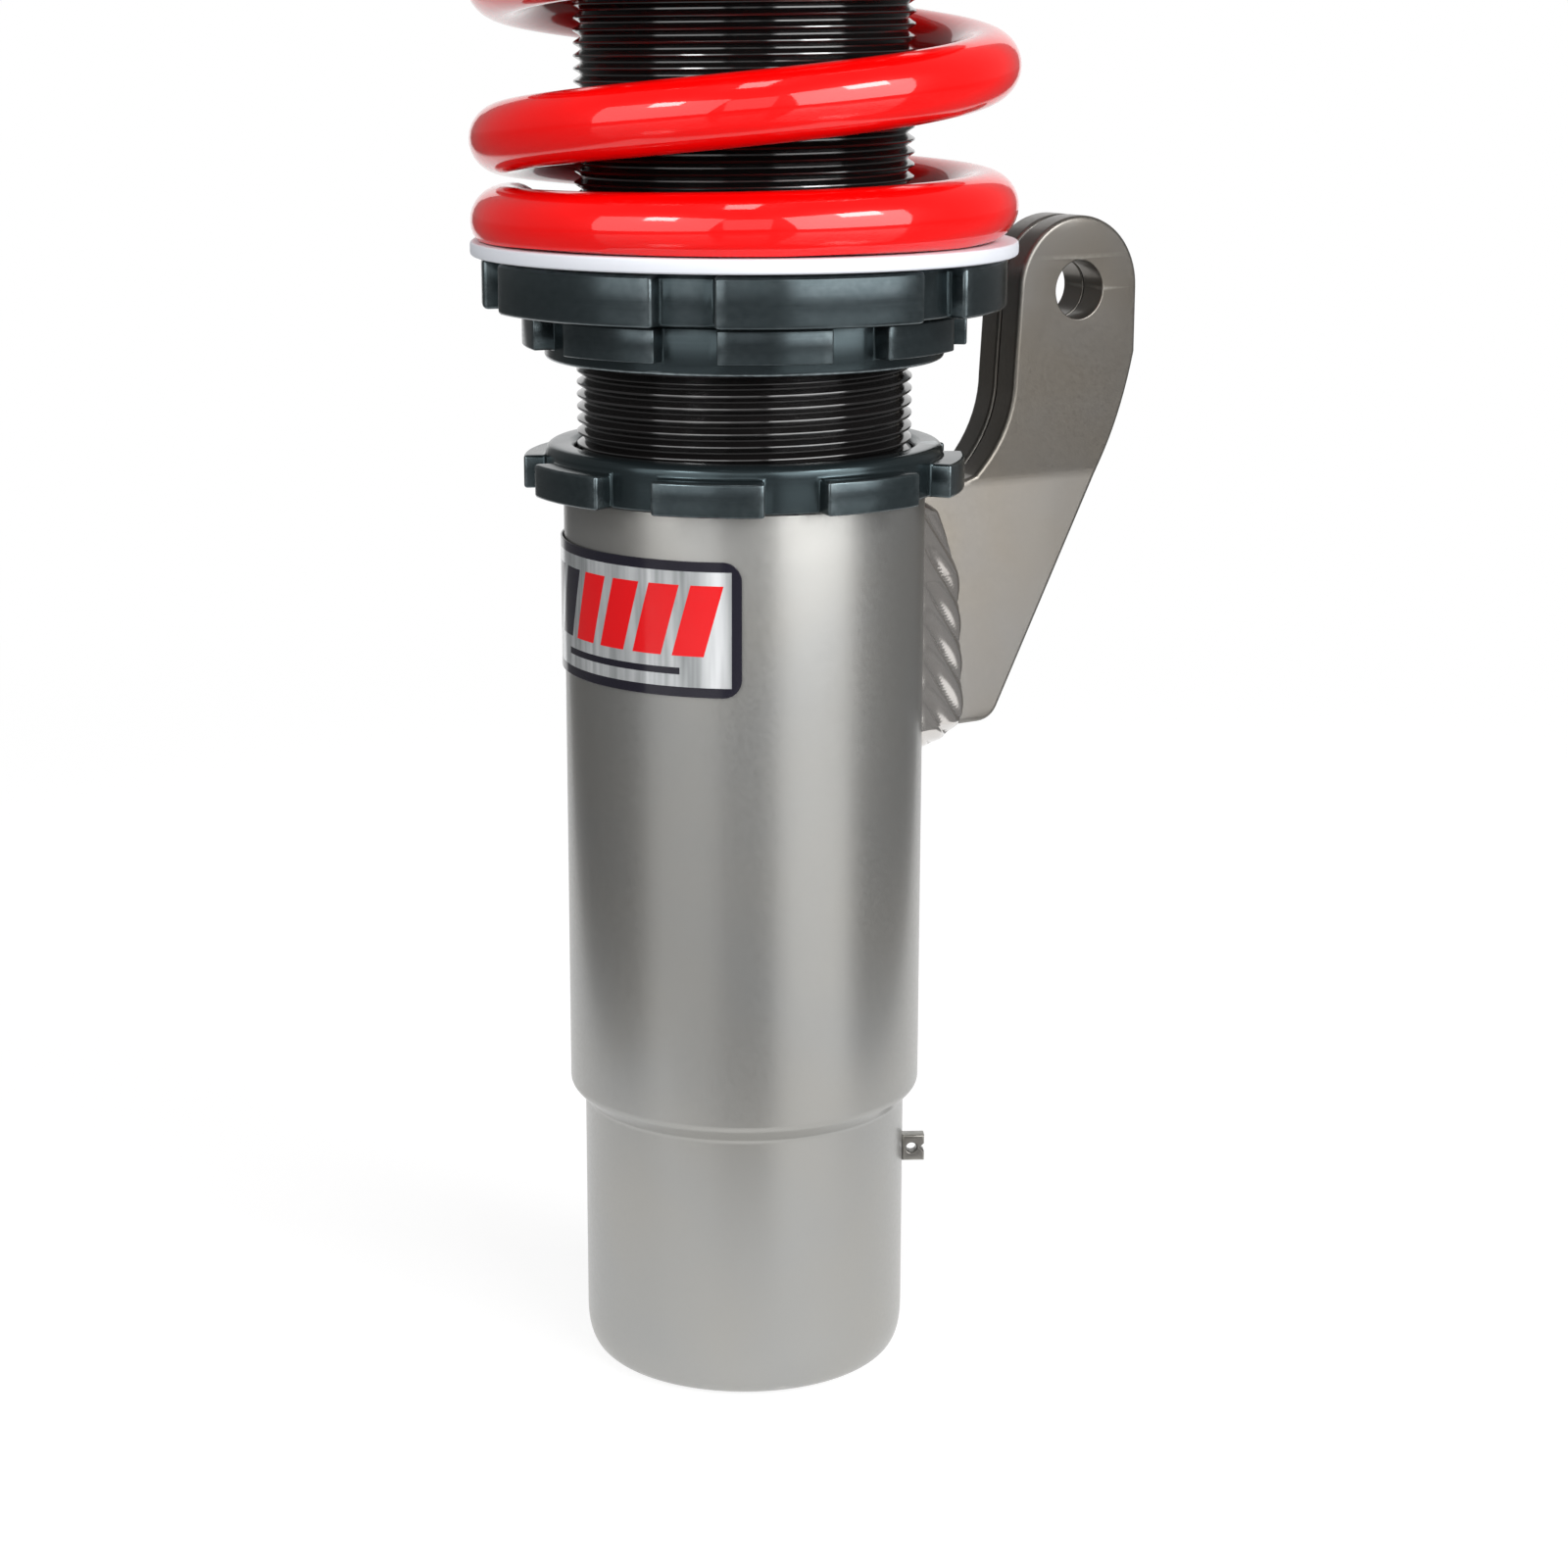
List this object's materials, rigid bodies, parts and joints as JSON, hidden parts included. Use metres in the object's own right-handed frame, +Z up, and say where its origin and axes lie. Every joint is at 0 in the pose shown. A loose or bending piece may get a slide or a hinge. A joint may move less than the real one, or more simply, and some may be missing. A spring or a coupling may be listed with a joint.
{
  "type": "coilover",
  "caption": "Height-adjustable coilover strut: red coil spring on a threaded black damper in a grey slip-in housing with a welded drop-link bracket and a sliding spherical top mount.",
  "frame": {"origin": "centre of the flat base face of the lower housing", "axes": "+Z up the damper's axis to the car body, +X towards the drop-link bracket, +Y along the drop-link bolt"},
  "size_m": [0.1412, 0.128, 0.457],
  "materials": {
    "titanium_paint": "metallic titanium grey paint, semi-gloss",
    "bracket_paint": "metallic grey over laser-cut steel plate",
    "gunmetal_anodised": "dark teal-grey anodised, satin",
    "black_thread": "black coating on a machined thread, satin",
    "spring_red": "thick gloss red powder coat",
    "white_nylon": "white nylon",
    "silver_foil": "silver foil label with black border and red bars",
    "hard_chrome": "polished hard chrome",
    "zinc_steel": "machined and zinc plated",
    "bronze": "machined bronze",
    "black_rubber": "black rubber",
    "yellow_foam": "microcellular urethane foam",
    "ptfe_bronze": "brown PTFE compound",
    "red_anodised": "red anodised aluminium"
  },
  "bodies": {
    "housing": {"lower_housing": "titanium_paint", "housing_base": "titanium_paint", "link_bracket_front": "bracket_paint", "link_bracket_rear": "bracket_paint", "bracket_weld_front": "bracket_paint", "bracket_weld_rear": "bracket_paint", "locating_tab": "bracket_paint", "label_plate": "silver_foil"},
    "height_ring": {"height_lock_ring": "gunmetal_anodised"},
    "damper": {"damper_body": "black_thread", "body_end_cap": "zinc_steel", "gas_valve": "bronze", "rod_guide": "bronze", "guide_o_ring": "black_rubber", "oil_seal": "black_rubber", "gland_nut": "gunmetal_anodised", "wiper_seal": "black_rubber"},
    "free_piston": {"floating_piston": "zinc_steel", "floating_piston_seal": "black_rubber"},
    "spring_seat": {"spring_washer": "white_nylon", "main_spring": "spring_red"},
    "perch": {"spring_perch": "gunmetal_anodised"},
    "seat_ring": {"seat_lock_ring": "gunmetal_anodised"},
    "rod": {"piston_rod": "hard_chrome", "main_piston": "zinc_steel", "piston_band": "ptfe_bronze", "compression_shims": "zinc_steel", "rebound_shims": "zinc_steel", "piston_nut": "zinc_steel", "bump_stop": "yellow_foam", "dust_boot": "black_rubber", "upper_spring_isolator": "white_nylon", "upper_spring_seat": "gunmetal_anodised", "ball_spacer": "zinc_steel", "pillow_ball": "hard_chrome", "top_washer": "zinc_steel", "top_nut": "zinc_steel"},
    "adjuster": {"adjuster_knob": "red_anodised", "adjuster_rod": "bronze"},
    "liner": {"race_liner": "ptfe_bronze"},
    "slider": {"slider_plate": "zinc_steel", "bearing_race": "zinc_steel", "retaining_ring": "zinc_steel", "camber_screw_1": "zinc_steel", "camber_screw_2": "zinc_steel", "camber_screw_3": "zinc_steel", "camber_screw_4": "zinc_steel"},
    "camber": {"camber_plate": "gunmetal_anodised", "mount_stud_1": "zinc_steel", "mount_stud_2": "zinc_steel", "mount_stud_3": "zinc_steel", "stud_nut_1": "zinc_steel", "stud_nut_2": "zinc_steel", "stud_nut_3": "zinc_steel"}
  },
  "joints": [
    {"name": "height_lock_ring_turn", "type": "hinge", "parent": "housing", "child": "height_ring", "pos_m": [0, 0, 0.1544], "axis": [0, 0, 1], "range_deg": [-180, 180]},
    {"name": "ride_height", "type": "slide", "parent": "housing", "child": "damper", "axis": [0, 0, 1], "range_m": [-0.006, 0.03]},
    {"name": "seat_travel", "type": "slide", "parent": "damper", "child": "spring_seat", "axis": [0, 0, 1], "range_m": [-0.007, 0]},
    {"name": "perch_turn", "type": "hinge", "parent": "spring_seat", "child": "perch", "pos_m": [0, 0, 0.1843], "axis": [0, 0, 1], "range_deg": [-1260, 0]},
    {"name": "seat_lock_ring_turn", "type": "hinge", "parent": "spring_seat", "child": "seat_ring", "pos_m": [0, 0, 0.1758], "axis": [0, 0, 1], "range_deg": [-1260, 0]},
    {"name": "damper_stroke", "type": "slide", "parent": "damper", "child": "rod", "axis": [0, 0, 1], "range_m": [-0.065, 0], "stiffness_N_per_m": 60000, "springref_m": 0.003, "deforming": ["main_spring"]},
    {"name": "free_piston_travel", "type": "slide", "parent": "damper", "child": "free_piston", "axis": [0, 0, 1], "range_m": [-0.015, 0]},
    {"name": "adjuster_turn", "type": "hinge", "parent": "rod", "child": "adjuster", "pos_m": [0, 0, 0.4517], "axis": [0, 0, 1], "range_deg": [0, 960]},
    {"name": "mount_swivel", "type": "hinge", "parent": "rod", "child": "liner", "pos_m": [0, 0, 0.416], "axis": [0, 0, 1], "range_deg": [-45, 45]},
    {"name": "mount_tilt", "type": "hinge", "parent": "liner", "child": "slider", "pos_m": [0, 0, 0.416], "axis": [1, 0, 0], "range_deg": [-6, 6]},
    {"name": "camber_slide", "type": "slide", "parent": "slider", "child": "camber", "axis": [1, 0, 0], "range_m": [-0.008, 0.008]}
  ],
  "couplings": [
    {"joint": "perch_turn", "follows": "seat_travel", "rad_per_m": 3141.6},
    {"joint": "seat_lock_ring_turn", "follows": "seat_travel", "rad_per_m": 3141.6},
    {"joint": "free_piston_travel", "follows": "damper_stroke", "ratio": 0.2287}
  ]
}
